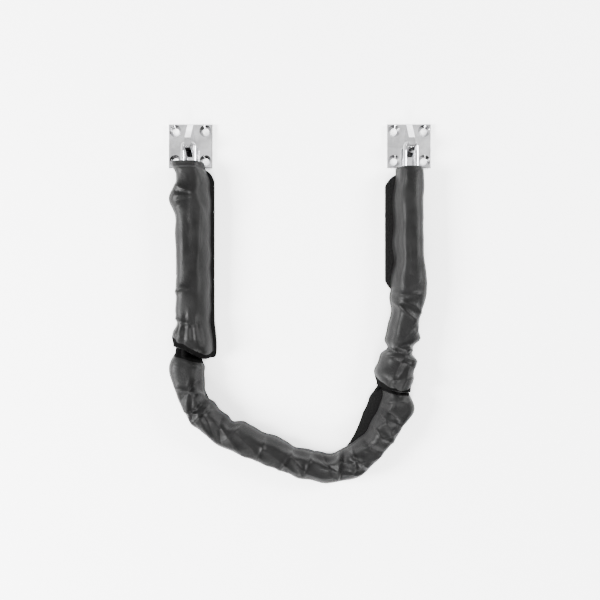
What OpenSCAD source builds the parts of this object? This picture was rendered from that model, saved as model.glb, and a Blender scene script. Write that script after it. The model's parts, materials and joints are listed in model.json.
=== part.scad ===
// Chain and spring door stop: two screw-on plates, a chain with a shock spring at each end, in a sleeve.
// The chain lies flat in a U. Origin: middle of the left plate's back face. +Z away from the mounting
// face, +Y towards the plates' top edges, +X towards the right plate.

/* [Plates] */
// Side of each square mounting plate
plate_w = 38; // [32:0.5:60]
// Thickness of each plate
plate_t = 3; // [2:0.25:5]
// Diameter of the screw holes
hole_d = 5.6; // [4:0.1:6.8]
// Diameter of the countersinks at the plate's front
sink_d = 10.4; // [8:0.1:13]
// Depth of the conical countersinks
sink_depth = 2.4; // [1:0.1:2.8]
// Metal left between a countersink and the plate's edge
edge_land = 0.8; // [0.6:0.1:3]
// Chamfer around the plate's front edges
plate_chamfer = 0.5; // [0.2:0.1:0.6]

/* [Lugs] */
// Thickness of the lug that stands on each plate
lug_t = 5; // [3.5:0.25:7]
// Metal around the lug's hole
lug_wall = 4.4; // [3:0.1:6]
// How far the lug's foot reaches from the hole towards the chain
lug_front = 10; // [8:0.5:14]

/* [Shock springs] */
// Wire diameter of the two draw loops in each spring
loop_wire = 3; // [2:0.1:4]
// Wire diameter of the shock spring
spring_wire = 2.4; // [1.6:0.1:3]
// Length of the shock spring
spring_len = 82; // [50:1:120]
// Turns in the shock spring
spring_turns = 14; // [6:1:18]
// Distance from the spring's far end to the first chain pin
eye_reach = 20; // [14:0.5:40]

/* [Chain] */
// Wire diameter of the chain links
link_wire = 4; // [3:0.1:5]
// Clear length inside a chain link
link_len = 24.6; // [20:0.1:36]
// Clear width inside a chain link
link_gap = 7; // [6.4:0.1:9]

/* [Sleeve] */
// Thickness of the sleeve's sheet
sleeve_wall = 1.2; // [0.8:0.1:2]
// How much wider than high the sleeve's tube lies
sleeve_slack = 3; // [1:0.5:16]
// How far the lapped closure stands out of the tube
flap_reach = 7; // [4:0.5:10]
// Thickness of the closure's loop strip
strip_t = 1.6; // [1:0.1:2.5]

/* [Fits] */
// Play between two linked wires
link_play = 0.15; // [0.1:0.05:0.3]
// Play of a draw loop's wire in the lug's hole
lug_play = 0.3; // [0.2:0.05:0.6]
// Space between the lug and each leg of its draw loop
lug_side_play = 1; // [0.8:0.1:2]
// Clearance between the draw loops and the spring
hook_play = 0.3; // [0.2:0.05:0.5]
// Clearance between the sleeve and the widest thing in it
sleeve_play = 0.6; // [0.4:0.1:3]
// Clearance between the sleeve's neck and the plate below it
neck_play = 0.4; // [0.3:0.1:1]
// Gap between the lug's foot and the sleeve's mouth
mouth_gap = 1.4; // [0.5:0.1:4]
// Gap between neighbouring sleeve sections
section_gap = 0.4; // [0.3:0.1:1]

/* [Hidden] */
$fn = 48;
// Sunk into a neighbour, so that two faces never merely touch
FINE = 0.01;
// Spare length of a cutting shape
SPARE = 1;
// Turn at each chain pin, from the left spring to the right one, in degrees to the left
BENDS = [0, -4, -4, 24, 28, 16, 7, 2, 6, 16, 30, 21, 14, 25, -9, -2, 0, 10];
LINKS = len(BENDS) - 1;

METAL = "silver";
LEATHERETTE = "#333336";
STRIP = "#1c1c1e";

// The draw loops clear the lug, the spring clears the loops, and the sleeve clears them all
loop_gap = lug_t + 2 * lug_side_play;
loop_leg = (loop_gap + loop_wire) / 2;
crossbar_corner = 1;
hook_corner = 0.7;
loop_bend_r = loop_wire / 2 + crossbar_corner;
hook_bend_r = loop_wire / 2 + hook_corner;
spring_od = loop_gap + 2 * (loop_wire + hook_play + spring_wire);
hook_tip = spring_od / 2;
link_w = link_gap + 2 * link_wire;
sleeve_h = max(spring_od, link_w) + 2 * (sleeve_play + sleeve_wall);
sleeve_w = sleeve_h + sleeve_slack;
axis_z = sleeve_h / 2;
neck_h = 2 * (axis_z - plate_t - neck_play);

hole_pitch = plate_w - sink_d - 2 * edge_land;
lug_hole_r = loop_wire / 2 + lug_play;
lug_nose_r = lug_hole_r + lug_wall;

// Along the chain's axis from the lug's hole
sleeve_start = lug_front + mouth_gap;
past_plate = 1;
mouth_full = plate_w / 2 + past_plate;
hook_room = 1.5;
spring_start = mouth_full + sleeve_wall + hook_room + loop_wire + hook_play;
spring_end = spring_start + spring_len;
spring_reach = spring_end + eye_reach;
sleeve_split = (spring_start + spring_end) / 2;
strip_inset = 0.5;

// Wire that stands upright at chain pin i: a draw loop's at both ends, otherwise a link's
function pin_wire(i) = i == 0 || i == LINKS ? loop_wire : link_wire;
// How far past pin i the middle of a flat link's wire lies
function pin_reach(i) = (link_wire + pin_wire(i)) / 2 + link_play;
function flat_len(i) = link_len + link_wire - pin_reach(i) - pin_reach(i + 1);
upright_len = link_len + link_wire;

// Direction of a path that heads h degrees round from -Y towards +X
function dir(h) = [sin(h), -cos(h)];
function heading(i) = i == 0 ? BENDS[0] : heading(i - 1) + BENDS[i];
function seg_len(i) = i % 2 == 0 ? flat_len(i) : upright_len;
// Place of chain pin i, where link i begins
function pin(i) = i == 0 ? [0, -spring_reach] : pin(i - 1) + seg_len(i - 1) * dir(heading(i - 1));
right_lug = pin(LINKS) + spring_reach * dir(heading(LINKS - 1) + BENDS[LINKS]);

// Where the tangent from point p to a circle of radius r at c touches, on the side given by s
function tangent(p, c, r, s) =
    let (v = p - c, d = norm(v), a = atan2(v[1], v[0]) + s * acos(r / d))
    c + r * [cos(a), sin(a)];

// Children are drawn along +X from a chain pin, with +Y on the inside of the U
module on_link(i)
{
    translate([pin(i)[0], pin(i)[1], axis_z]) rotate([0, 0, heading(i) - 90]) children();
}

// Children are drawn along +X from the lug's hole, with +Y on the inside of the U
module on_left()
{
    translate([0, 0, axis_z]) rotate([0, 0, -90]) children();
}

module on_right()
{
    translate([right_lug[0], right_lug[1], axis_z]) mirror([1, 0, 0]) rotate([0, 0, -90]) children();
}

// ---- plates ----

module plate_blank()
{
    big = 2 * plate_w;
    difference()
    {
        translate([-plate_w / 2, -plate_w / 2, 0]) cube([plate_w, plate_w, plate_t]);
        for (a = [0 : 90 : 270])
            rotate([0, 0, a])
                translate([plate_w / 2 - plate_chamfer, 0, plate_t])
                    rotate([0, 45, 0])
                        translate([0, -big / 2, 0]) cube([big, big, big]);
    }
}

module screw_hole()
{
    translate([0, 0, -SPARE]) cylinder(d = hole_d, h = plate_t + 2 * SPARE);
    translate([0, 0, plate_t - sink_depth]) cylinder(d1 = hole_d, d2 = sink_d, h = sink_depth + FINE);
}

// Side view of the lug: a round nose with straight flanks that run down to the plate
module lug_outline()
{
    foot = plate_t - FINE;
    nose = [0, axis_z];
    top = [plate_w / 2 - plate_chamfer, foot];
    front = [-lug_front, foot];
    polygon([top, tangent(top, nose, lug_nose_r, 1), nose, tangent(front, nose, lug_nose_r, -1), front]);
    translate(nose) circle(r = lug_nose_r);
}

module plate()
{
    color(METAL)
    difference()
    {
        union()
        {
            plate_blank();
            rotate([90, 0, 90]) translate([0, 0, -lug_t / 2]) linear_extrude(lug_t) lug_outline();
        }
        for (x = [-1, 1], y = [-1, 1])
            translate([x * hole_pitch / 2, y * hole_pitch / 2, 0]) screw_hole();
        translate([-lug_t, 0, axis_z]) rotate([0, 90, 0]) cylinder(r = lug_hole_r, h = 2 * lug_t);
    }
}

// ---- draw loops and shock springs ----

// A quarter ring of wire in the XY plane from +X to +Y
module wire_corner(bend_r, wire)
{
    rotate_extrude(angle = 90) translate([bend_r, 0]) circle(d = wire);
}

module wire_along_x(x0, x1, wire)
{
    translate([x0, 0, 0]) rotate([0, 90, 0]) cylinder(d = wire, h = x1 - x0);
}

// Half of a draw loop, +Y side: half of its crossbar at x = 0, a leg, and an end bent outwards at x1
module half_loop(x1)
{
    half_bar = loop_leg - loop_bend_r;
    rotate([-90, 0, 0]) cylinder(d = loop_wire, h = half_bar);
    translate([loop_bend_r, half_bar, 0]) rotate([0, 0, 90]) wire_corner(loop_bend_r, loop_wire);
    translate([0, loop_leg, 0]) wire_along_x(loop_bend_r, x1 - hook_bend_r, loop_wire);
    translate([x1 - hook_bend_r, loop_leg + hook_bend_r, 0])
        rotate([0, 0, -90]) wire_corner(hook_bend_r, loop_wire);
    translate([x1, loop_leg + hook_bend_r, 0])
        rotate([-90, 0, 0]) cylinder(d = loop_wire, h = hook_tip - loop_leg - hook_bend_r);
}

module draw_loop(x1)
{
    half_loop(x1);
    mirror([0, 1, 0]) half_loop(x1);
}

// Through the lug, lying flat, with its ends hooked over the spring's far end
module draw_hook()
{
    color(METAL) draw_loop(spring_end + hook_play + loop_wire / 2);
}

// Standing upright in the chain's first link, with its ends hooked over the spring's near end
module draw_eye()
{
    color(METAL)
        translate([spring_reach, 0, 0])
            rotate([90, 0, 0])
                mirror([1, 0, 0])
                    draw_loop(spring_reach - spring_start + hook_play + loop_wire / 2);
}

// A coil of wire with squared ends, as rings of points joined by quads
module spring()
{
    steps_per_turn = 16;
    sides = 6;
    mean_r = (spring_od - spring_wire) / 2;
    steps = spring_turns * steps_per_turn;
    dead = steps_per_turn;
    x0 = spring_start + spring_wire / 2;
    x1 = spring_end - spring_wire / 2;
    end_gap = 0.1;
    pitch = spring_wire + end_gap;
    live = (x1 - x0 - 2 * pitch) / (steps - 2 * dead);
    function along(s) =
        s <= dead ? x0 + pitch * s / dead
        : s >= steps - dead ? x1 - pitch * (steps - s) / dead
        : x0 + pitch + live * (s - dead);
    points = [for (s = [0 : steps], k = [0 : sides - 1])
        let (turn = s * 360 / steps_per_turn, side = k * 360 / sides,
             r = mean_r + spring_wire / 2 * cos(side))
        [along(s) + spring_wire / 2 * sin(side), r * cos(turn), r * sin(turn)]];
    walls = [for (s = [0 : steps - 1], k = [0 : sides - 1])
        let (k2 = (k + 1) % sides)
        [s * sides + k, (s + 1) * sides + k, (s + 1) * sides + k2, s * sides + k2]];
    first = [for (k = [0 : sides - 1]) k];
    last = [for (k = [sides - 1 : -1 : 0]) steps * sides + k];
    color(METAL) polyhedron(points, concat(walls, [first, last]), convexity = 6);
}

// ---- chain ----

// A welded link in the XY plane between pins at x = 0 and x = span; reach0 and reach1 are how far the
// middle of its wire lies past each pin
module link(span, reach0, reach1)
{
    mid_r = (link_gap + link_wire) / 2;
    x0 = mid_r - reach0;
    x1 = span - mid_r + reach1;
    translate([x0, 0, 0]) rotate([0, 0, 90])
        rotate_extrude(angle = 180) translate([mid_r, 0]) circle(d = link_wire);
    translate([x1, 0, 0]) rotate([0, 0, -90])
        rotate_extrude(angle = 180) translate([mid_r, 0]) circle(d = link_wire);
    for (s = [-1, 1])
        translate([0, s * mid_r, 0]) wire_along_x(x0, x1, link_wire);
}

module chain_link(i)
{
    color(METAL)
    on_link(i)
        if (i % 2 == 0) link(flat_len(i), pin_reach(i), pin_reach(i + 1));
        else rotate([90, 0, 0]) link(upright_len, 0, 0);
}

// ---- sleeve ----

// Outline of the sleeve's tube, w wide and h high: two half rounds joined by straight sides
module oval(w, h)
{
    sides = 36;
    polygon([for (k = [0 : sides - 1])
        let (a = (k + 0.5) * 360 / sides)
        [sign(cos(a)) * (w - h) / 2 + cos(a) * h / 2, sin(a) * h / 2]]);
}

module tube_outline(w, h, wall)
{
    difference()
    {
        oval(w, h);
        oval(w - 2 * wall, h - 2 * wall);
    }
}

// The sheet's outer edge, lapped over the strip on the tube's inner side
module flap_outline()
{
    translate([sleeve_w / 2 - sleeve_wall / 2, 0])
        square([sleeve_wall / 2 + flap_reach, sleeve_wall]);
}

module sleeve_outline()
{
    tube_outline(sleeve_w, sleeve_h, sleeve_wall);
    flap_outline();
}

module strip_outline()
{
    translate([sleeve_w / 2 + strip_inset, -strip_t]) square([flap_reach - strip_inset, strip_t]);
}

// Extrudes an outline in YZ from x0 to x1
module run(x0, x1)
{
    translate([x0, 0, 0]) rotate([90, 0, 90]) linear_extrude(x1 - x0) children();
}

// Keeps what lies between two mitre planes at x0 and x1, for turns of b0 and b1 there
module between(x0, b0, x1, b1)
{
    reach = sleeve_w / 2 + flap_reach + SPARE;
    g = section_gap / 2;
    d0 = reach * tan(b0 / 2);
    d1 = reach * tan(b1 / 2);
    intersection()
    {
        children();
        translate([0, 0, -sleeve_h])
            linear_extrude(2 * sleeve_h)
                polygon([[x0 + g - d0, -reach], [x1 - g + d1, -reach],
                         [x1 - g - d1, reach], [x0 + g + d0, reach]]);
    }
}

module link_sleeve(i)
{
    color(LEATHERETTE)
    on_link(i)
        between(0, BENDS[i], seg_len(i), BENDS[i + 1])
            run(-sleeve_w, seg_len(i) + sleeve_w) sleeve_outline();
}

// The sleeve's end: a flattened neck over the plate, then the full tube to the split
module sleeve_mouth()
{
    neck_share = 2 / 3;
    neck_wall = sleeve_wall * neck_share;
    color(LEATHERETTE)
    {
        run(sleeve_start, mouth_full + FINE) tube_outline(sleeve_w, neck_h, neck_wall);
        run(mouth_full, mouth_full + sleeve_wall)
            difference()
            {
                oval(sleeve_w, sleeve_h);
                oval(sleeve_w - 2 * neck_wall, neck_h - 2 * neck_wall);
            }
        run(mouth_full + sleeve_wall - FINE, sleeve_split - section_gap / 2) sleeve_outline();
    }
}

// The sleeve from the split to the first chain pin, where the path turns by bend
module sleeve_body(bend)
{
    color(LEATHERETTE)
        between(sleeve_split, 0, spring_reach, bend)
            run(sleeve_split, spring_reach + sleeve_w) sleeve_outline();
}

module mouth_strip()
{
    color(STRIP) run(mouth_full + sleeve_wall, sleeve_split - section_gap / 2) strip_outline();
}

module body_strip(bend)
{
    color(STRIP)
        between(sleeve_split, 0, spring_reach, bend)
            run(sleeve_split, spring_reach + sleeve_w) strip_outline();
}

// ---- the nodes ----

plate();  // left_plate
translate([right_lug[0], right_lug[1], 0]) plate();  // right_plate

on_left() draw_hook();  // left_draw_hook
on_left() draw_eye();  // left_draw_eye
on_left() spring();  // left_spring
on_right() draw_hook();  // right_draw_hook
on_right() draw_eye();  // right_draw_eye
on_right() spring();  // right_spring

for (i = [0 : LINKS - 1])
{
    number = str(i < 9 ? "0" : "", i + 1);
    chain_link(i);
    link_sleeve(i);
}

on_left() sleeve_mouth();  // left_sleeve_mouth
on_left() sleeve_body(BENDS[0]);  // left_sleeve_body
on_right() sleeve_mouth();  // right_sleeve_mouth
on_right() sleeve_body(BENDS[LINKS]);  // right_sleeve_body

on_left() mouth_strip();  // left_mouth_strip
on_left() body_strip(BENDS[0]);  // left_body_strip
on_right() mouth_strip();  // right_mouth_strip
on_right() body_strip(BENDS[LINKS]);  // right_body_strip
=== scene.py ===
"""Chain and spring door stop: a chain in a wrinkled leatherette sleeve between two plated screw-on plates."""
import json
import math

import bpy
import numpy as np
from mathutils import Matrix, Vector, noise

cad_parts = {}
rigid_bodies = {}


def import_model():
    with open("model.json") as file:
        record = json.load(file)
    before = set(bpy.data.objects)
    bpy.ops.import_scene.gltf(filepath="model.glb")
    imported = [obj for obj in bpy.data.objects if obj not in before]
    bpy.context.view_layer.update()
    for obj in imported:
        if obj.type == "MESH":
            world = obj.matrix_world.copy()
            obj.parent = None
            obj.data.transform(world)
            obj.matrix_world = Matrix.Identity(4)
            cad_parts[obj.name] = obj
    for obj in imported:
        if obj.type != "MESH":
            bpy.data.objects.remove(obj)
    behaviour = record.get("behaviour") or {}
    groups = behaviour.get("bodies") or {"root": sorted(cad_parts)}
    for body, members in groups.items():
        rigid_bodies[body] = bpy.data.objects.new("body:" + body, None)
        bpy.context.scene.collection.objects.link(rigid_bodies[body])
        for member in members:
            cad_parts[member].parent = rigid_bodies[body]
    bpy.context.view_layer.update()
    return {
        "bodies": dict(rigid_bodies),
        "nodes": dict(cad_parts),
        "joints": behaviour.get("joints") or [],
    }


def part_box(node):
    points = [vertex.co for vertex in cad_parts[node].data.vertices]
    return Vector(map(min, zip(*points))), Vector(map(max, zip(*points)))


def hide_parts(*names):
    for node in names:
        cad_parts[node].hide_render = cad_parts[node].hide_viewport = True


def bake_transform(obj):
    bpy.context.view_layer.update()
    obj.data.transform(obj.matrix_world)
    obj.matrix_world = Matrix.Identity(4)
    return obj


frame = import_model()
MM = 0.001

JOINTS = {joint["name"]: joint for joint in frame["joints"]}
LINKS = sum(body.startswith("link_") for body in frame["bodies"])


def box_mm(node):
    """Lowest and highest corner of a CAD node, in millimetres."""
    low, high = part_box(node)
    return np.array(low) / MM, np.array(high) / MM


# ---- the path of the chain, in millimetres, from the left lug to the right one ----

def joint_xy(name):
    """Where a joint's axis meets the floor plan."""
    return np.array(JOINTS[name]["pos_m"][:2]) / MM


PINS = [joint_xy(f"chain_pin_{i + 1:02d}") for i in range(LINKS + 1)]
CORNERS = [joint_xy("left_lug_hinge"), *PINS, joint_xy("right_lug_hinge")]
SLEEVE_BODIES = ["left_hook", "left_eye", *[f"link_{i + 1:02d}" for i in range(LINKS)],
                 "right_eye", "right_hook"]
LONGEST_TURN = 14       # how far a turn of the sleeve reaches along a straight stretch
TURN_POINTS = 13        # points on the curve round each pin
PATH_STEP = 0.5         # distance between the path's points
AHEAD = 1.5             # distance before and after a point over which the path's direction is taken
SOFT_REACH = 8          # how far the sleeve evens out the chain's turns


def path_curve():
    """The centre line as points: straight stretches joined by a smooth curve round each pin."""
    points = [CORNERS[0]]
    for before, here, after in zip(CORNERS, CORNERS[1:], CORNERS[2:]):
        back, ahead = before - here, after - here
        start = here + back * min(0.5, LONGEST_TURN / np.linalg.norm(back))
        end = here + ahead * min(0.5, LONGEST_TURN / np.linalg.norm(ahead))
        for t in np.linspace(0, 1, TURN_POINTS):
            points.append((1 - t) ** 2 * start + 2 * t * (1 - t) * here + t * t * end)
    points.append(CORNERS[-1])
    points = np.array(points)
    run = np.r_[0, np.cumsum(np.linalg.norm(np.diff(points, axis=0), axis=1))]
    even = np.linspace(0, run[-1], int(run[-1] / PATH_STEP) + 1)
    points = np.stack([np.interp(even, run, points[:, axis]) for axis in (0, 1)], axis=-1)
    half = int(SOFT_REACH / PATH_STEP)
    weights = np.hanning(2 * half + 1)
    weights /= weights.sum()
    for axis in (0, 1):
        points[half:-half, axis] = np.convolve(points[:, axis], weights, mode="valid")
    return points


PATH = path_curve()
PATH_S = np.r_[0, np.cumsum(np.linalg.norm(np.diff(PATH, axis=0), axis=1))]
LENGTH = PATH_S[-1]


def nearest_s(point):
    """How far along the path a point of the floor plan lies."""
    return PATH_S[np.argmin(np.linalg.norm(PATH - point, axis=1))]


def turn_at(i):
    """How far corner i turns to the left, in degrees."""
    a, b = CORNERS[i] - CORNERS[i - 1], CORNERS[i + 1] - CORNERS[i]
    return math.degrees(math.atan2(a[0] * b[1] - a[1] * b[0], a @ b))


PIN_S = [nearest_s(pin) for pin in PINS]
TURNS = [turn_at(i + 1) for i in range(LINKS + 1)]
LINK_S = [(a + b) / 2 for a, b in zip(PIN_S, PIN_S[1:])]


def on_path(s, n, z):
    """Points in metres at s along the path, n towards the inside of the U, and z above the floor."""
    def place(at):
        return np.stack([np.interp(at, PATH_S, PATH[:, 0]), np.interp(at, PATH_S, PATH[:, 1])], axis=-1)
    step = place(s + AHEAD) - place(s - AHEAD)
    step = step / np.linalg.norm(step, axis=-1, keepdims=True)
    inward = np.stack([-step[..., 1], step[..., 0]], axis=-1)
    xy = place(s) + inward * n[..., None]
    return np.concatenate([xy, z[..., None]], axis=-1) * MM


# ---- the sleeve's shape, in millimetres ----

TOP = box_mm("sleeve_01")[1][2]                     # height of the sleeve
SPLIT_LEFT = -box_mm("left_sleeve_body")[1][1]      # where the left spring's two sleeve sections meet
MOUTH = -box_mm("left_sleeve_mouth")[1][1]          # where the sleeve starts
PLATE_END = -box_mm("left_plate")[0][1]             # where it leaves the plate
PLATE_TOP = max(vertex.co.z for vertex in frame["nodes"]["left_plate"].data.vertices
                if vertex.co.x < -PLATE_END / 2 * MM) / MM      # height of the plate beside its lug
AXIS_Z = JOINTS["left_lug_hinge"]["pos_m"][2] / MM
LUG_TOP = box_mm("left_plate")[1][2]                # height of the lug, which slopes to the plate's end
SWING_PLAY = 0.8                                    # space to the plate when the sleeve swings over it
SPRING_R = box_mm("left_spring")[1][0]              # outer radius of the springs
HOOKED_FROM = -box_mm("left_draw_eye")[1][1]        # the loops' ends are hooked over the spring's
HOOKED_TO = -box_mm("left_draw_hook")[0][1]
LINK_R = (box_mm("link_02")[1][2] - box_mm("link_02")[0][2]) / 2    # half the width of a link
WIRE_R = (box_mm("link_01")[1][2] - box_mm("link_01")[0][2]) / 2    # half the thickness of a link

OUTER_SPRING, OUTER_CHAIN = 11, 10      # reach to the outside of the U, beside a spring and beside a link
LAP_SPRING, LAP_CHAIN = 18, 14          # reach of the lapped edge to the inside
STRIP_SPRING, STRIP_CHAIN = 21, 13      # reach of the loop strip under the lap
STRIP_MOST = 25                         # and its furthest reach anywhere
TO_CHAIN = (-3, 7)                      # where the sleeve narrows to the chain, past the left fold
TO_SPRING = (-4, 12)                    # where it widens again for the right spring, past the last pin
LAP_LIFT = 3.6                          # height of the lapped edge
LINK_SWELL, LINK_REACH = 0.5, 7         # a flat link swells the sleeve, an upright one draws it in
UPRIGHT_SHARE = 0.7                     # by this share of what a flat one does
PINCH = 0.02                            # how far each degree of a turn narrows the sleeve at its pin,
PINCH_REACH, PINCH_TOP_REACH = 8, 5     # and how far along it that narrows and lowers the sleeve
SWELL_LOWERS, SPREAD_LOWERS = 0.5, 0.15 # a sleeve that grows wider by 1 is this much lower
LEAST_PAST_LINK = 2                     # least distance from a link's side to the sleeve's
SIT = 0.7                               # height of the sleeve's underside over what it lies on
TAPE_UNDER_LAP = 13                     # how far the loop strip reaches in under the lap
WANDER_SPRING, WANDER_CHAIN = 0.4, 1.0  # slow unevenness of both edges
WANDER_TOP = 0.4                        # and of the height

# The two places where the sleeve is kinked and one side laps over the other. side: -1 where the part before
# the fold is on top, 1 where the part after it is. after_pin: distance past the pin. gather: extra sheet
# taken up. reach: half the length of sheet in the fold. wide: how much the flattened side spreads.
# neck: how much the other draws in. deep: how far the hidden sheet drops, and low_at: where, from the fold's
# middle. skew: how the lip slants.
LEFT_FOLD = {"pin": 3, "after_pin": -8, "side": -1, "gather": 26, "reach": 9, "wide": 4, "neck": 0,
             "deep": 11, "low_at": 14, "skew": 0.5}
RIGHT_FOLD = {"pin": 15, "after_pin": -9, "side": 1, "gather": 24, "reach": 8, "wide": 5, "neck": 1,
              "deep": 10, "low_at": 10, "skew": 0.25}
FOLDS = [LEFT_FOLD, RIGHT_FOLD]
FLAT_AT, NECK_AT = 5, 12        # from a fold's lip to the flattened side's middle, and to the neck's
PAST_FLAT = 12                  # from the flattened side to where the outer edge draws in again
FLAT_OUT, DRAWN_IN = 0.5, 0.4   # shares of a fold's width by which the outer edge does these two
OUT_REACH, IN_REACH, NECK_REACH, SKEW_REACH = 6, 11, 8, 15      # how far along each of these spreads
LIP_RISE, LIP_REACH = 2.5, 8    # how far the sleeve rises on the flattened side
OUTSIDE_SLANT = 0.3             # share of its slant that a lip keeps on the outside of the U
DIP_OUTER, DIP_LAP, DIP_LOW = 0.2, 0.3, 0.15    # shares of the hidden sheet's drop that its edges follow
PAINTED_SHADE_DIP = 2.5        # where the tucked sheet drops further than this, its outside is given the dark backing cloth as painted shade, darkening the fold's gap
# Where the sleeve spreads to the outside and the inside of the U, or draws in where the number is below
# zero. reach: how far along the sleeve that takes.
SPREADS = [
    {"pin": 4, "after_pin": 0, "out": 2, "in": 2, "reach": 12},
    {"pin": 6, "after_pin": 16, "out": 0, "in": -2, "reach": 4},
    {"pin": 7, "after_pin": -3, "out": 0, "in": 2, "reach": 5},
    {"pin": 9, "after_pin": 0, "out": -1, "in": -2, "reach": 6},
    {"pin": 10, "after_pin": 12, "out": 3, "in": -3, "reach": 11},
    {"pin": 14, "after_pin": 0, "out": 5, "in": 1, "reach": 9},
    {"pin": 16, "after_pin": -11, "out": 7, "in": 1, "reach": 8},
    {"pin": 16, "after_pin": 0, "out": -2, "in": -5, "reach": 4},
    {"pin": 16, "after_pin": 13, "out": 6, "in": 0, "reach": 6},
    {"pin": 18, "after_pin": 2, "out": 4, "in": 2, "reach": 16},
]
# Creases down the right arm: a height or depth, a width, and points, each with its pin, the distance past
# it and the place across the sleeve. The two that run the whole way across mark the waist where the
# arm is drawn together.
ARM_CREASES = [
    {"rise": 2.0, "wide": 2.2, "line": [(18, -8, 16), (17, 4, 2), (17, -3, -9)]},
    {"rise": 2.0, "wide": 2.0, "line": [(17, -3, -12), (16, 12, -4), (16, 3, 6)]},
    {"rise": 1.6, "wide": 2.4, "line": [(18, -8, 9), (18, 2, 0), (18, 14, -7)]},
    {"rise": -2.4, "wide": 2.6, "line": [(16, 7, -16), (16, 5, -9), (16, 6, -3)]},
    {"rise": -2.2, "wide": 1.6, "line": [(16, -1, 18), (16, -2, 0), (16, -3, -18)]},
    {"rise": 1.8, "wide": 1.6, "line": [(16, -5, 20), (16, -6, 0), (16, -7, -20)]},
    {"rise": -2.4, "wide": 2.2, "line": [(16, -10, 4), (16, -9, -4), (16, -13, -11)]},
]
# The gentle wave of the lapped edge down the right arm. crest: from the plate's end to the first crest.
# in_by: how much less the lap reaches there.
LAP_WAVE = {"high": 0.8, "long": 34, "crest": 29, "in_by": 4}
# The bulge beside the left plate: the sheet has slipped outwards there, past a slight waist
BULGE = {"past_plate": 28, "out": 6, "reach": 10, "waist": 1, "waist_before": 15, "waist_reach": 5}
# The stretch where the lap gapes and shows the strip: its pins, how far short of the last one it starts to
# close and is shut, how far the lap lifts, and how much further the strip reaches
GAPE = {"from_pin": 11, "full_pin": 13, "to_pin": 15, "closing": 26, "shut": 8, "lift": 4,
        "strip_out": 11}

DIAGONALS_FROM = 3      # pins before the first long ridge, which starts past the left fold
MUCH_BENT = 25          # degrees that a link's two pins turn, added up, where it creases more

SHEET_T = 1.1           # thickness of the leatherette
TAPE_T = 1.4            # thickness of the loop strip
CLEAR = 0.3             # space kept between the sheet and the metal in it
UV_UNIT = 100           # length of sheet that is one unit in its UV map
OFF_FLOOR = 0.05        # lowest that a sheet's inner side lies
UNDERSIDE = 0.3         # lowest that its outer side does
RING_STEP = 0.85        # distance between the sheet's rings
AROUND = 92             # points across the sheet, from one edge to the other
ROUNDING = 60           # passes that round off each cross-section's corners
CREASE_MOST = 3.2       # creases that cross rise no further than this
CREASE_SHARP = 1.15     # 1 gives a crease a sharp top, 2 a round one
CREASE_ENDS = 0.3       # share of its length over which each end of a crease fades
RANDOM_FOLD = 0.30      # height of the soft random folds everywhere
HEM, HEM_RISE = 2.5, 0.5    # width of the mouths' hems, and height of the lapped edge's
HEM_IN, HEM_REACH = 1.5, 1.2    # the latter's distance from the edge, and half its width
LEFT_SLACK, RIGHT_SLACK = 4, 9          # how far each mouth has crept back from the lug
LEFT_FLARE, RIGHT_FLARE = 4, -0.5       # how far each mouth spreads outwards over its plate
LAP_TUCK, RIGHT_TUCK = 6, 0.5           # how far the left mouth draws the lap in, and the share at the right
TAPE_FROM_LEFT, TAPE_FROM_RIGHT = 2, 6  # where the loop strip starts, past each plate
TAPE_ROUND = 10         # how far its rounded end reaches
TAPE_HIDDEN = 2         # how far inside the lapped edge it stays before that end
TAPE_ACROSS = 14        # points across it
TAPE_BASE = 2.4         # its height over the sheet's underside
TAPE_FROM_LIFT = 2.6    # its hidden edge rises as the lap lifts past this height,
TAPE_RISE_MOST = 4.0    # for no more than this much of the lift,
TAPE_RISE_SHARE = 0.7   # by this share of it
TAPE_DIP_SHARE = 0.4    # the share of the sheet's drop in a fold that it follows


def bump(x, middle, reach):
    """A smooth hump, 1 high at its middle."""
    return np.exp(-((x - middle) / reach) ** 2)


def ease(x, start, end):
    """0 before the start, 1 after the end, and smooth between."""
    t = np.clip((x - start) / (end - start), 0, 1)
    return t * t * (3 - 2 * t)


def swing_top(from_end):
    """Highest that clears the plate and its lug's slope when the sleeve swings over them."""
    below = PLATE_TOP + (LUG_TOP - PLATE_TOP) * np.clip(1 - from_end / PLATE_END, 0, 1)
    return 2 * AXIS_Z - below - SWING_PLAY


def fold_s(fold):
    """How far along the path a fold's lip lies."""
    return PIN_S[fold["pin"] - 1] + fold["after_pin"]


def wander(s, seed):
    """A slow random wave of about unit height."""
    rng = np.random.default_rng(seed)
    waves = [np.sin(2 * math.pi * s / length + phase)
             for length, phase in zip((97, 61, 37, 23), rng.uniform(0, 2 * math.pi, 4))]
    return sum(waves) / 2


def folded_length():
    """The sheet from mouth to mouth: u along it, s along the path, and how far it drops inside a fold."""
    gathered = sum(fold["gather"] for fold in FOLDS)
    start, end = MOUTH + LEFT_SLACK, LENGTH - MOUTH - RIGHT_SLACK
    u = np.linspace(start, end + gathered, int((end - start + gathered) / RING_STEP))
    s, dip, before = u.copy(), np.zeros_like(u), 0
    for fold in FOLDS:
        # the sheet runs on to the lip, back beneath it and on again
        middle = fold_s(fold) + before + fold["gather"] / 2
        s -= fold["gather"] * ease(u, middle - fold["reach"], middle + fold["reach"])
        low_point = middle - fold["side"] * fold["low_at"]
        dip += fold["deep"] * bump(u, low_point, fold["reach"] * 1.1)
        before += fold["gather"]
    return u, s, dip


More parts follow.
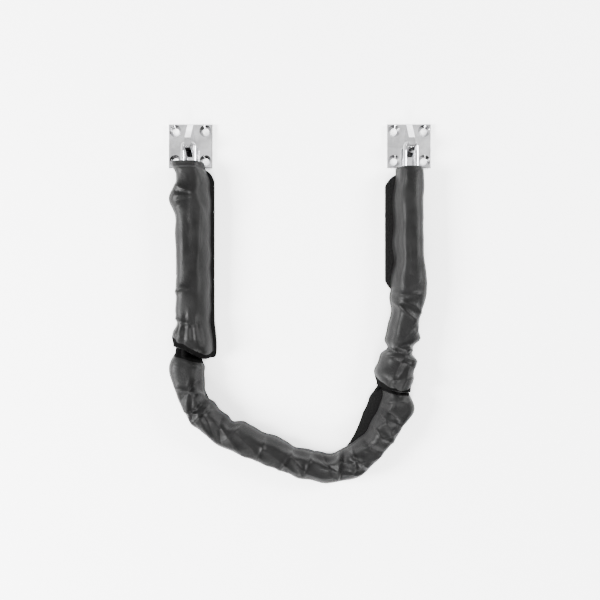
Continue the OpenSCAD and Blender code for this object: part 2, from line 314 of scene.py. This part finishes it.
def follow_chain(size, s):
    """The sleeve swells round the links and is pinched at the pins."""
    for i, middle in enumerate(LINK_S):
        swell = LINK_SWELL * bump(s, middle, LINK_REACH) * (1 if i % 2 == 0 else -UPRIGHT_SHARE)
        size["outer"] += swell
        size["lap"] += swell
        size["top"] -= swell * SWELL_LOWERS
    for middle, turn in zip(PIN_S, TURNS):
        # the inside of a turn is pinched: the U's own inside is the lap's side
        size["lap" if turn > 0 else "outer"] -= abs(turn) * PINCH * bump(s, middle, PINCH_REACH)
        size["top"] -= abs(turn) * PINCH * bump(s, middle, PINCH_TOP_REACH)


def shape_by_hand(size, s, right_arm):
    """The spreads, the right arm's wavy lap and the left bulge."""
    for spread in SPREADS:
        there = bump(s, PIN_S[spread["pin"] - 1] + spread["after_pin"], spread["reach"])
        size["outer"] += spread["out"] * there
        size["lap"] += spread["in"] * there
        size["strip"] += min(spread["in"], 0) * there
        size["top"] -= SPREAD_LOWERS * (spread["out"] + spread["in"]) * there
    wave = np.cos(2 * math.pi * (LENGTH - s - PLATE_END - LAP_WAVE["crest"]) / LAP_WAVE["long"])
    size["lap"] += (LAP_WAVE["high"] * wave - LAP_WAVE["in_by"]) * right_arm
    bulge_s = PLATE_END + BULGE["past_plate"]
    size["outer"] += BULGE["out"] * bump(s, bulge_s, BULGE["reach"])
    size["outer"] -= BULGE["waist"] * bump(s, bulge_s - BULGE["waist_before"], BULGE["waist_reach"])


def shape_folds(size, s, dip):
    """Flatten one side of each fold, draw in the other, and lower the sheet hidden in it. Gives the slant."""
    skew = np.zeros_like(s)
    for fold in FOLDS:
        lip = fold_s(fold)
        flat_side, neck_side = lip + fold["side"] * FLAT_AT, lip - fold["side"] * NECK_AT
        past_flat = flat_side + fold["side"] * PAST_FLAT
        size["outer"] += fold["wide"] * (FLAT_OUT * bump(s, flat_side, OUT_REACH)
                                         - DRAWN_IN * bump(s, past_flat, OUT_REACH))
        size["outer"] -= fold["neck"] * bump(s, neck_side, NECK_REACH)
        for edge in ("lap", "strip"):
            size[edge] += fold["wide"] * bump(s, flat_side, IN_REACH)
            size[edge] -= fold["neck"] * bump(s, neck_side, NECK_REACH)
        skew += fold["skew"] * bump(s, lip, SKEW_REACH)
        size["top"] += LIP_RISE * bump(s, flat_side, LIP_REACH)
    size["top"] -= dip
    size["outer"] -= DIP_OUTER * dip
    for edge in ("lap", "strip"):
        size[edge] -= DIP_LAP * dip
    return skew


def open_gape(size, s):
    """Bring the strip out where the lap gapes. Gives the height of the lapped edge."""
    open_from, open_full, open_to = (PIN_S[GAPE[key] - 1] for key in ("from_pin", "full_pin", "to_pin"))
    closing = ease(s, open_to - GAPE["closing"], open_to - GAPE["shut"])
    gape = np.clip((s - open_from) / (open_full - open_from), 0, 1) * (1 - closing)
    size["strip"] = np.minimum(size["strip"] + GAPE["strip_out"] * gape, STRIP_MOST)
    return LAP_LIFT + GAPE["lift"] * gape


def fit_plates(size, s, dip):
    """Narrow the sheet over each plate and keep it clear of the plate. Gives the height of its underside."""
    from_end = np.minimum(s, LENGTH - s)
    on_left = s < LENGTH / 2
    over_plate = 1 - ease(from_end, PLATE_END - 2, PLATE_END + 8)
    near_plate = 1 - ease(from_end, PLATE_END + 1, HOOKED_FROM)
    tuck = (1 - ease(from_end, PLATE_END - 4, PLATE_END + 16)) * np.where(on_left, 1, RIGHT_TUCK)
    size["top"] -= (TOP - swing_top(from_end)) * near_plate
    size["outer"] += np.where(on_left, LEFT_FLARE, RIGHT_FLARE) * over_plate
    size["lap"] -= LAP_TUCK * tuck

    # the strip starts past the plate, with a rounded end, and hides under the lap where it isn't wider
    tape_from = PLATE_END + np.where(on_left, TAPE_FROM_LEFT, TAPE_FROM_RIGHT)
    rounded = np.sqrt(np.clip((from_end - tape_from) / TAPE_ROUND, 0, 1))
    hidden = size["lap"] - TAPE_HIDDEN
    size["strip"] = hidden + (size["strip"] - size["lap"] + TAPE_HIDDEN) * rounded
    return SIT + (PLATE_TOP + SIT) * over_plate + DIP_LOW * dip


def sheet_rows():
    """The sheet's rings: u along the sheet, s along the path, and each ring's sizes."""
    u, s, dip = folded_length()
    left_end = fold_s(LEFT_FOLD)
    right_arm = ease(s, PIN_S[-1] + TO_SPRING[0], PIN_S[-1] + TO_SPRING[1])
    chain = ease(s, left_end + TO_CHAIN[0], left_end + TO_CHAIN[1]) * (1 - right_arm)
    size = {"outer": OUTER_SPRING + (OUTER_CHAIN - OUTER_SPRING) * chain,
            "lap": LAP_SPRING + (LAP_CHAIN - LAP_SPRING) * chain,
            "strip": STRIP_SPRING + (STRIP_CHAIN - STRIP_SPRING) * chain,
            "top": np.full_like(s, TOP)}
    follow_chain(size, s)
    shape_by_hand(size, s, right_arm)
    uneven = WANDER_SPRING + (WANDER_CHAIN - WANDER_SPRING) * chain
    size["outer"] += uneven * wander(s, 1)
    size["lap"] += uneven * wander(s, 2)
    size["top"] += WANDER_TOP * wander(s, 3)
    skew = shape_folds(size, s, dip)
    size["lap"] = np.maximum(size["lap"], LINK_R + LEAST_PAST_LINK)
    lift = open_gape(size, s)
    low = fit_plates(size, s, dip)
    size["outer"] = np.maximum(size["outer"], LINK_R + LEAST_PAST_LINK)
    rows = [size["outer"], size["lap"], size["strip"], size["top"], lift, low, skew, dip]
    return u, s, np.stack(rows, axis=-1)


def smooth_through(knots, values, at):
    """A smooth curve through a few points."""
    slopes = np.gradient(values, knots, axis=0)
    k = np.clip(np.searchsorted(knots, at, side="right") - 1, 0, len(knots) - 2)
    width = (knots[k + 1] - knots[k])[:, None]
    t = (at - knots[k])[:, None] / width
    return (values[k] * (2 * t ** 3 - 3 * t ** 2 + 1) + values[k + 1] * (3 * t ** 2 - 2 * t ** 3)
            + slopes[k] * width * (t ** 3 - 2 * t ** 2 + t) + slopes[k + 1] * width * (t ** 3 - t ** 2))


def section_outline(outer, lap, strip, top, lift, low):
    """One cross-section, from the edge under the strip, round the outside and over, to the lapped edge."""
    tall = top - low
    corners = np.array([
        # the underside, from its free edge outwards
        (max(strip, lap) - 2, low + 1.4), (min(strip, lap) - 6, low + 0.4), (2, low), (-outer + 6, low),
        # up the outside, widest below the middle
        (-outer + 1.6, low + tall * 0.16), (-outer, low + tall * 0.42), (-outer + 0.8, low + tall * 0.68),
        # over the top
        (-outer * 0.7, low + tall * 0.9), (lap * 0.3 - outer * 0.35, top), (lap * 0.55, low + tall * 0.93),
        # down the inside to the lapped edge
        (lap - 3.6, max(low + tall * 0.7, lift + 2)), (lap - 1, max(low + tall * 0.45, lift + 1)),
        (lap, lift)])
    knots = np.r_[0, np.cumsum(np.linalg.norm(np.diff(corners, axis=0), axis=1))]
    outline = smooth_through(knots, corners, np.linspace(0, knots[-1], 4 * AROUND))
    for _ in range(ROUNDING):
        outline[1:-1] = (outline[:-2] + 2 * outline[1:-1] + outline[2:]) / 4
    run = np.r_[0, np.cumsum(np.linalg.norm(np.diff(outline, axis=0), axis=1))]
    even = np.linspace(0, run[-1], AROUND)
    spaced = [np.interp(even, run, outline[:, axis]) for axis in (0, 1)]
    return np.stack(spaced, axis=-1), run[-1]


# ---- creases: each is a height over the sheet (below zero for a valley), a width, and points (s, n) ----

def pin_creases():
    """Creases that fan out across the sleeve from the inside of each turn: the sharper, the more."""
    creases = []
    for i, (middle, turn) in enumerate(zip(PIN_S, TURNS)):
        rng = np.random.default_rng(100 + i)
        inside = 1 if turn > 0 else -1
        count = 1 + int(abs(turn) / 12)
        for k in range(count):
            spread = (k - (count - 1) / 2) / max(count - 1, 1)
            depth = (1.6 + 0.04 * abs(turn)) * rng.uniform(0.8, 1.2) * (-0.8 if k % 2 else 1)
            near = middle + spread * 10 + rng.uniform(-3, 3)
            far = near + spread * 20 + rng.uniform(-12, 12)
            bow = rng.uniform(-3, 3)
            reach = rng.uniform(-11, -6)
            points = [(near, inside * 14), ((near + far) / 2 + bow, inside * 4), (far, inside * reach)]
            creases.append((depth, rng.uniform(1.3, 2.0), points))
    return creases


def diagonal_creases():
    """Long ridges that wind across the sleeve from pin to pin, with valleys where it turns more."""
    creases = []
    for i in range(DIAGONALS_FROM, LINKS - 1):
        rng = np.random.default_rng(500 + i - DIAGONALS_FROM)
        a, b = PIN_S[i], PIN_S[i + 1]
        bent = abs(TURNS[i]) + abs(TURNS[i + 1]) > MUCH_BENT
        for sign in (1, -1) if bent else (1,):
            depth = (1 if sign > 0 else -0.8) * rng.uniform(1.4, 2.1)
            start, stop = a - 8 + 6 * (sign < 0), b + 12 + 6 * (sign < 0)
            points = [(start, rng.uniform(7, 12)), ((start + stop) / 2, rng.uniform(-2, 4)),
                      (stop, rng.uniform(-11, -7))]
            creases.append((depth, rng.uniform(1.3, 2.2), points))
    return creases


def hem_creases():
    """The turned hem round each mouth."""
    hems = []
    for s in (MOUTH + LEFT_SLACK + HEM, LENGTH - MOUTH - RIGHT_SLACK - HEM):
        hems.append((-0.7, 0.8, [(s, -14), (s, 0), (s, 14)]))
    return hems


def spring_creases():
    """Long soft ridges beside each spring."""
    creases = []
    for end, (start, stop) in enumerate(((PLATE_END + 10, PIN_S[0]), (PIN_S[-1], LENGTH - PLATE_END - 10))):
        rng = np.random.default_rng(200 + end)
        for k in range(5):
            a = rng.uniform(start, stop - 40)
            b = a + rng.uniform(35, 65)
            n = -7 + 4.6 * k
            sign = 1 if k % 2 else -1
            creases.append((sign * rng.uniform(0.4, 0.8), rng.uniform(2.4, 3.6),
                            [(a, n), ((a + b) / 2, n + rng.uniform(-2, 2)), (b, n + rng.uniform(-2, 2))]))
    return creases


def bulge_creases():
    """Folds across the bulge that run together on its inner side."""
    middle = PLATE_END + BULGE["past_plate"]
    focus = (middle - 1, 11)
    fan = [(1.1, -12), (-0.8, -6), (1.2, -1), (-0.9, 4), (0.8, 11)]
    creases = [(depth, 2.3, [(middle + along, -13), (middle + along * 0.6, -4), focus])
               for depth, along in fan]
    creases.append((1.5, 2.0, [(middle - 3, 8), (middle + 10, 12), (middle + 60, 10)]))
    return creases


def fold_creases():
    """Pulled ridges that run to the left fold's lip."""
    creases = []
    rng = np.random.default_rng(400)
    lip, side = fold_s(LEFT_FOLD), LEFT_FOLD["side"]
    for k, n in enumerate(np.linspace(-9, 16, 7)):
        away = lip + side * rng.uniform(18, 38)
        creases.append(((1 if k % 2 else -0.9) * rng.uniform(1.4, 2.0), rng.uniform(1.6, 2.2),
                        [(away, n * 0.55), (lip + side * 6, n * 0.85), (lip, n)]))
    return creases


def arm_creases():
    """The creases listed for the right arm."""
    return [(crease["rise"], crease["wide"], [(PIN_S[pin - 1] + past, n) for pin, past, n in crease["line"]])
            for crease in ARM_CREASES]


CREASES = (pin_creases() + diagonal_creases() + arm_creases() + hem_creases() + spring_creases()
           + bulge_creases() + fold_creases())


def crease_height(s, n):
    """How far the creases raise the sheet at each point of the floor plan."""
    height = np.zeros_like(s)
    for depth, width, points in CREASES:
        best = np.full_like(s, 1e9)
        share = np.zeros_like(s)
        lengths = [math.dist(a, b) for a, b in zip(points, points[1:])]
        done = 0.0
        for (s0, n0), (s1, n1), length in zip(points, points[1:], lengths):
            t = np.clip(((s - s0) * (s1 - s0) + (n - n0) * (n1 - n0)) / length ** 2, 0, 1)
            apart = np.hypot(s - s0 - t * (s1 - s0), n - n0 - t * (n1 - n0))
            nearer = apart < best
            best = np.where(nearer, apart, best)
            share = np.where(nearer, (done + t * length) / sum(lengths), share)
            done += length
        fade = ease(np.minimum(share, 1 - share), -0.08, CREASE_ENDS)
        height += depth * fade * np.exp(-(best / width) ** CREASE_SHARP)
    return CREASE_MOST * np.tanh(height / CREASE_MOST)


def small_folds(u, v):
    """Soft random folds over the whole sheet, longer along it than across."""
    flat = [noise.noise(Vector((a / 30, b / 10, 3.7))) + 0.4 * noise.noise(Vector((a / 14, b / 6, 8.1)))
            for a, b in zip(u.ravel(), v.ravel())]
    return np.array(flat).reshape(u.shape)


def pushed_out(n, z, half_wide, half_tall, where):
    """Move points of a cross-section out of an oval round the axis, only where asked."""
    room = SHEET_T + CLEAR
    share = np.hypot(n / (half_wide + room), (z - AXIS_Z) / (half_tall + room))
    grow = np.where(where, np.maximum(1 / np.maximum(share, 1e-6), 1), 1)
    return n * grow, AXIS_Z + (z - AXIS_Z) * grow


def clear_of_metal(s, n, z):
    """Keep the sheet outside the springs and the links. A link reaches past its pins by its wire."""
    from_end = np.minimum(s, LENGTH - s)
    spring = (from_end > HOOKED_FROM - 1) & (from_end < HOOKED_TO + 1)
    n, z = pushed_out(n, z, SPRING_R, SPRING_R, spring)
    for i, middle in enumerate(LINK_S):
        half = (PIN_S[i + 1] - PIN_S[i]) / 2 + 2 * WIRE_R
        flat = i % 2 == 0
        here = np.abs(s - middle) < half
        n, z = pushed_out(n, z, LINK_R if flat else WIRE_R, WIRE_R if flat else LINK_R, here)
    return n, z


def relaxed(values):
    """Values on a grid, each moved halfway to the mean of its neighbours; the borders stay."""
    soft = values.copy()
    around = values[:-2, 1:-1] + values[2:, 1:-1] + values[1:-1, :-2] + values[1:-1, 2:]
    soft[1:-1, 1:-1] = (values[1:-1, 1:-1] + around / 4) / 2
    return soft


def slanted(s_ring, rows, n):
    """How far along the path each point lies, where a fold's lip slants across the sleeve."""
    return s_ring[:, None] + rows[:, 6:7] * np.maximum(n, OUTSIDE_SLANT * n)


def sheet_grid():
    """The leatherette as a grid: its points, the sheet's own u and v in millimetres, s of each ring, and
    where shade is painted.
    """
    u, s_ring, rows = sheet_rows()
    outlines, widths = zip(*(section_outline(*row[:6]) for row in rows))
    outlines = np.array(outlines)
    n, z = outlines[..., 0], outlines[..., 1]
    s = slanted(s_ring, rows, n)
    v = np.linspace(0, 1, AROUND)[None, :] * np.array(widths)[:, None]
    uu = np.repeat(u[:, None], AROUND, axis=1)
    along = np.gradient(outlines, axis=1)
    outward = np.stack([along[..., 1], -along[..., 0]], axis=-1)
    outward /= -np.linalg.norm(outward, axis=-1, keepdims=True)
    low, top, dip = rows[:, 5:6], rows[:, 3:4], rows[:, 7:8]
    # creases fade in up the outside and over the top, and leave out a fold's hidden sheet
    upper = np.clip((z - low) / (top - low) * 2.2 - 0.5, 0, 1) * (np.arange(AROUND)[None, :] > AROUND * 0.3)
    raised = upper * (1 - np.clip(dip / 3, 0, 1)) * (crease_height(s, n) + RANDOM_FOLD * small_folds(uu, v))
    raised += HEM_RISE * bump(v, v[:, -1:] - HEM_IN, HEM_REACH)
    n = n + outward[..., 0] * raised
    z = z + outward[..., 1] * raised
    n, z = clear_of_metal(s, relaxed(n), relaxed(z))
    from_end = np.minimum(s, LENGTH - s)
    z = np.where(from_end < PLATE_END + 1, np.minimum(z, swing_top(from_end)), z)
    # painted shade: the outside of the sheet tucked deep in a fold takes the dark backing cloth, to darken
    # the gap under the lip
    painted_fold_shade = np.repeat(dip > PAINTED_SHADE_DIP, AROUND, axis=1)
    return on_path(s, n, np.maximum(z, UNDERSIDE)), uu, v, s_ring, painted_fold_shade


def strip_grid():
    """The loop strip: a band that sticks out from under the lap, as a grid like the sheet's."""
    u, s_ring, rows = sheet_rows()
    past_plates = np.minimum(s_ring - TAPE_FROM_LEFT, LENGTH - s_ring - TAPE_FROM_RIGHT) > PLATE_END
    u, s_ring, rows = u[past_plates], s_ring[past_plates], rows[past_plates]
    _, lap, strip, _, lift, low, _, dip = rows.T
    t = np.linspace(0, 1, TAPE_ACROSS)[None, :]
    inner = (lap - TAPE_UNDER_LAP)[:, None]
    n = inner + (strip[:, None] - inner) * t
    rise = np.minimum(lift - TAPE_FROM_LIFT, TAPE_RISE_MOST)[:, None]
    z = low[:, None] + TAPE_BASE + rise * (1 - t ** 3) * TAPE_RISE_SHARE - TAPE_DIP_SHARE * dip[:, None]
    s = slanted(s_ring, rows, n)
    uu = np.repeat(u[:, None], TAPE_ACROSS, axis=1)
    painted_fold_shade = np.zeros_like(uu, dtype=bool)
    return on_path(s, n, np.maximum(z, TAPE_T + UNDERSIDE)), uu, n - inner, s_ring, painted_fold_shade


def slab_mesh(name, outside, inside, normals, u, v, painted_fold_shade, materials):
    """A closed thin slab between two grids of points, shaded by the whole sheet's normals."""
    rings, across = u.shape
    count = rings * across
    index = np.arange(count).reshape(rings, across)
    front = np.stack([index[:-1, :-1], index[1:, :-1], index[1:, 1:], index[:-1, 1:]], axis=-1).reshape(-1, 4)
    back = front[:, ::-1] + count
    border = np.concatenate([index[:, 0], index[-1, 1:], index[-2::-1, -1], index[0, -2:0:-1]])
    following = np.roll(border, -1)
    rim = np.stack([following, border, border + count, following + count], axis=-1)
    quads = np.concatenate([front, back, rim])
    points = np.concatenate([outside.reshape(-1, 3), inside.reshape(-1, 3)])
    mesh = bpy.data.meshes.new(name)
    mesh.from_pydata(points.tolist(), [], quads.tolist())
    layer = mesh.uv_layers.new(name="sheet")
    flat = np.tile(np.stack([u.ravel(), v.ravel()], axis=-1), (2, 1))[quads.ravel()] / UV_UNIT
    layer.data.foreach_set("uv", flat.astype(np.float32).ravel())
    for material in materials:
        mesh.materials.append(material)
    shown = np.full(len(quads), len(materials) - 1, dtype=np.int32)
    # painted shade: outside faces deep in a fold take the last material, the dark backing cloth, as the back
    # and rim faces do
    shown[:len(front)] *= painted_fold_shade[:-1, :-1].ravel()
    mesh.polygons.foreach_set("material_index", shown)
    mesh.polygons.foreach_set("use_smooth", np.ones(len(quads), dtype=bool))
    both = np.concatenate([normals.reshape(-1, 3), -normals.reshape(-1, 3)])
    corner = both[quads]
    span = np.cross(points[rim[:, 2]] - points[rim[:, 0]], points[rim[:, 3]] - points[rim[:, 1]])
    span /= np.maximum(np.linalg.norm(span, axis=-1, keepdims=True), 1e-12)
    corner[len(front) + len(back):] = span[:, None, :]
    mesh.update()
    mesh.normals_split_custom_set(corner.reshape(-1, 3).tolist())
    obj = bpy.data.objects.new(name, mesh)
    bpy.context.scene.collection.objects.link(obj)
    return obj


def grid_normals(points):
    """Outward unit normals of a grid of points."""
    normal = np.cross(np.gradient(points, axis=0), np.gradient(points, axis=1))
    return normal / np.maximum(np.linalg.norm(normal, axis=-1, keepdims=True), 1e-12)


# ---- materials; their scales count a UV unit, or a metre on the metal, as one ----

def new_material(name):
    """A material, its nodes and links, and its shader."""
    material = bpy.data.materials.new(name)
    material.use_nodes = True
    tree = material.node_tree
    return material, tree.nodes, tree.links, tree.nodes["Principled BSDF"]


def add_node(nodes, kind, **values):
    """A node with each value set on the input, or else the setting, of that name."""
    node = nodes.new(kind)
    for key, value in values.items():
        if key in node.inputs:
            node.inputs[key].default_value = value
        else:
            setattr(node, key, value)
    return node


def ramp(nodes, stops):
    """A ramp between two stops, each a place and a shade of grey or a colour."""
    node = nodes.new("ShaderNodeValToRGB")
    for element, (place, shade) in zip(node.color_ramp.elements, stops):
        element.position = place
        element.color = (*([shade] * 3 if np.isscalar(shade) else shade), 1)
    return node


def leatherette():
    """Black vinyl with a fine pebbled grain, shinier where it is rubbed."""
    material, nodes, links, bsdf = new_material("leatherette")
    uv = add_node(nodes, "ShaderNodeUVMap", uv_map="sheet")
    grain = add_node(nodes, "ShaderNodeTexVoronoi", Scale=110.0, Randomness=1.0, feature="SMOOTH_F1")
    fine = add_node(nodes, "ShaderNodeTexNoise", Scale=160.0, Detail=4.0)
    broad = add_node(nodes, "ShaderNodeTexNoise", Scale=6.0, Detail=5.0)
    shade = ramp(nodes, [(0.3, 0.003), (0.7, 0.007)])
    gloss = ramp(nodes, [(0.3, 0.37), (0.7, 0.48)])
    mix = add_node(nodes, "ShaderNodeMath", operation="ADD")
    relief = add_node(nodes, "ShaderNodeBump", Strength=0.35, Distance=0.0004)
    for texture in (grain, fine, broad):
        links.new(uv.outputs["UV"], texture.inputs["Vector"])
    links.new(broad.outputs["Fac"], shade.inputs["Fac"])
    links.new(broad.outputs["Fac"], gloss.inputs["Fac"])
    links.new(grain.outputs["Distance"], mix.inputs[0])
    links.new(fine.outputs["Fac"], mix.inputs[1])
    links.new(mix.outputs[0], relief.inputs["Height"])
    links.new(shade.outputs["Color"], bsdf.inputs["Base Color"])
    links.new(gloss.outputs["Color"], bsdf.inputs["Roughness"])
    links.new(relief.outputs["Normal"], bsdf.inputs["Normal"])
    bsdf.inputs["Specular IOR Level"].default_value = 0.10
    return material


def dull_cloth(name, scale, dark, light, strength):
    """Dull black cloth: the sheet's woven back, also laid on as painted shade in the folds' gaps, or napped
    loop tape.
    """
    material, nodes, links, bsdf = new_material(name)
    uv = add_node(nodes, "ShaderNodeUVMap", uv_map="sheet")
    weave = add_node(nodes, "ShaderNodeTexNoise", Scale=scale, Detail=5.0)
    shade = ramp(nodes, [(0.3, dark), (0.75, light)])
    relief = add_node(nodes, "ShaderNodeBump", Strength=strength, Distance=0.0005)
    links.new(uv.outputs["UV"], weave.inputs["Vector"])
    links.new(weave.outputs["Fac"], shade.inputs["Fac"])
    links.new(weave.outputs["Fac"], relief.inputs["Height"])
    links.new(shade.outputs["Color"], bsdf.inputs["Base Color"])
    links.new(relief.outputs["Normal"], bsdf.inputs["Normal"])
    bsdf.inputs["Roughness"].default_value = 0.95
    bsdf.inputs["Specular IOR Level"].default_value = 0.02
    return material


def plated(name, dark, light, rough, grain_scale, stretch):
    """Bright plated metal with a faint directional polish."""
    material, nodes, links, bsdf = new_material(name)
    place = add_node(nodes, "ShaderNodeTexCoord")
    mapping = add_node(nodes, "ShaderNodeMapping", Scale=stretch)
    polish = add_node(nodes, "ShaderNodeTexNoise", Scale=grain_scale, Detail=5.0)
    cloud = add_node(nodes, "ShaderNodeTexNoise", Scale=90.0, Detail=3.0)
    shade = ramp(nodes, [(0.3, dark), (0.7, light)])
    gloss = ramp(nodes, [(0.3, rough * 0.7), (0.7, rough * 1.4)])
    relief = add_node(nodes, "ShaderNodeBump", Strength=0.12, Distance=0.0002)
    links.new(place.outputs["Object"], mapping.inputs["Vector"])
    links.new(mapping.outputs["Vector"], polish.inputs["Vector"])
    links.new(place.outputs["Object"], cloud.inputs["Vector"])
    links.new(cloud.outputs["Fac"], shade.inputs["Fac"])
    links.new(polish.outputs["Fac"], gloss.inputs["Fac"])
    links.new(polish.outputs["Fac"], relief.inputs["Height"])
    links.new(shade.outputs["Color"], bsdf.inputs["Base Color"])
    links.new(gloss.outputs["Color"], bsdf.inputs["Roughness"])
    links.new(relief.outputs["Normal"], bsdf.inputs["Normal"])
    bsdf.inputs["Metallic"].default_value = 1.0
    return material


EVEN, ALONG_Y = (1.0, 1.0, 1.0), (1.0, 0.06, 1.0)
LEATHER = leatherette()
# the sheet's woven back, and painted shade on the outside of the sheet tucked deep in a fold
SHEET_BACK_AND_PAINTED_SHADE = dull_cloth("woven_back_and_painted_shade", 60.0, 0.001, 0.003, 0.4)
TAPE = dull_cloth("loop_tape", 90.0, 0.0025, 0.009, 0.9)
METALS = {
    "plate": plated("plate_chrome", (0.42, 0.42, 0.43), (0.76, 0.76, 0.77), 0.14, 700.0, ALONG_Y),
    "draw": plated("wire_chrome", (0.50, 0.50, 0.51), (0.76, 0.76, 0.77), 0.11, 500.0, EVEN),
    "link": plated("link_steel", (0.45, 0.45, 0.46), (0.60, 0.60, 0.60), 0.30, 500.0, EVEN),
    "spring": plated("spring_steel", (0.38, 0.38, 0.40), (0.52, 0.52, 0.54), 0.28, 500.0, EVEN),
}
for node_name, node in frame["nodes"].items():
    for word, metal in METALS.items():
        if word in node_name and "sleeve" not in node_name:
            node.data.materials.clear()
            node.data.materials.append(metal)


# ---- the shock springs: the draw loops squeeze each from both ends, so it shortens as they part ----

def make_spring(side):
    """A coil copied from a spring's CAD node, which it stands for; the CAD node is hidden."""
    coil = bpy.data.objects.new(f"{side}_shock_coil", frame["nodes"][f"{side}_spring"].data.copy())
    bpy.context.scene.collection.objects.link(coil)
    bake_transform(coil)
    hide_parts(f"{side}_spring")


# ---- the sheet, cut into one piece for each joint that it crosses ----

CROSSED = ["left_spring_slide", *[f"chain_pin_{i + 1:02d}" for i in range(LINKS + 1)], "right_spring_slide"]
JOINT_S = [SPLIT_LEFT, *PIN_S, LENGTH - SPLIT_LEFT]
CUTS = [0, *[(a + b) / 2 for a, b in zip(JOINT_S, JOINT_S[1:])], LENGTH]


def ring_cuts(s_ring):
    """The ring nearest each cut, counting the sheet's own order where s runs backwards in a fold."""
    return [0] + [int(np.argmin(np.abs(s_ring - cut))) for cut in CUTS[1:-1]] + [len(s_ring) - 1]


def nodes_of(body, word):
    """The CAD nodes of one body whose names hold a word."""
    empty = frame["bodies"][body]
    return [name for name, node in frame["nodes"].items() if node.parent == empty and word in name]


def make_band(label, grid, materials, thickness, word):
    """Cut a band at CUTS into one piece for each joint that it crosses, and hide the CAD nodes that the
    pieces stand for.
    """
    points, u, v, s_ring, painted_fold_shade = grid
    normals = grid_normals(points)
    inside = points - normals * thickness * MM
    inside[..., 2] = np.maximum(inside[..., 2], OFF_FLOOR * MM)
    cuts = ring_cuts(s_ring)
    for k, joint in enumerate(CROSSED):
        rings = slice(cuts[k], cuts[k + 1] + 1)
        piece = slab_mesh(f"{label}_{k + 1:02d}", points[rings], inside[rings], normals[rings],
                          u[rings], v[rings], painted_fold_shade[rings], materials)
        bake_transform(piece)
        stands_for = nodes_of(SLEEVE_BODIES[k], word)
        if k == len(CROSSED) - 1:
            stands_for += nodes_of(SLEEVE_BODIES[k + 1], word)
        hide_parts(*stands_for)


make_spring("left")
make_spring("right")
make_band("leatherette", sheet_grid(), [LEATHER, SHEET_BACK_AND_PAINTED_SHADE], SHEET_T, "sleeve")
make_band("loop_tape", strip_grid(), [TAPE], TAPE_T, "strip")

# ---- floor, light and camera ----

U_MIDDLE = (0.09505, -0.1335)   # where the camera and the lights look, in metres
CAMERA_HEIGHT = 0.5
FLOOR_Z = -0.0003               # a hair under the part, so that the two don't touch

bpy.ops.mesh.primitive_plane_add(size=4, location=(*U_MIDDLE, FLOOR_Z))
floor = bpy.context.object
floor.name = "floor"
paper, _, _, paper_bsdf = new_material("floor_paper")
paper_bsdf.inputs["Base Color"].default_value = (0.97, 0.97, 0.97, 1)
paper_bsdf.inputs["Roughness"].default_value = 0.9
paper_bsdf.inputs["Emission Color"].default_value = (1, 1, 1, 1)
paper_bsdf.inputs["Emission Strength"].default_value = 1.0
floor.data.materials.append(paper)


def area_light(name, place, size, power):
    """A square light that looks at the middle of the U. Place and size are in metres."""
    data = bpy.data.lights.new(name, "AREA")
    data.size = size
    data.energy = power
    light = bpy.data.objects.new(name, data)
    light.location = place
    light.rotation_euler = (Vector((*U_MIDDLE, 0)) - Vector(place)).to_track_quat("-Z", "Y").to_euler()
    bpy.context.scene.collection.objects.link(light)


area_light("key", (-1.2, -0.2, 0.8), 0.5, 115)
area_light("fill", (1.4, 0.3, 0.8), 0.5, 60)
area_light("front", (0.1, -1.5, 0.8), 0.5, 55)

# a bright sky over a darker horizon, brightest to the upper left, for the plating to mirror
world = bpy.context.scene.world or bpy.data.worlds.new("world")
bpy.context.scene.world = world
world.use_nodes = True
sky_nodes, sky_links = world.node_tree.nodes, world.node_tree.links
sky_place = add_node(sky_nodes, "ShaderNodeTexCoord")
sky_height = add_node(sky_nodes, "ShaderNodeVectorMath", operation="DOT_PRODUCT")
sky_height.inputs[1].default_value = (-0.4, 0.4, 0.9)
sky_shade = ramp(sky_nodes, [(0.10, 0.05), (0.60, 1.0)])
sky_links.new(sky_place.outputs["Generated"], sky_height.inputs[0])
sky_links.new(sky_height.outputs["Value"], sky_shade.inputs["Fac"])
sky_links.new(sky_shade.outputs["Color"], sky_nodes["Background"].inputs["Color"])
sky_nodes["Background"].inputs["Strength"].default_value = 1.6

camera_data = bpy.data.cameras.new("camera")
camera_data.lens = 34.4
camera = bpy.data.objects.new("camera", camera_data)
camera.location = (*U_MIDDLE, CAMERA_HEIGHT)
bpy.context.scene.collection.objects.link(camera)
bpy.context.scene.camera = camera
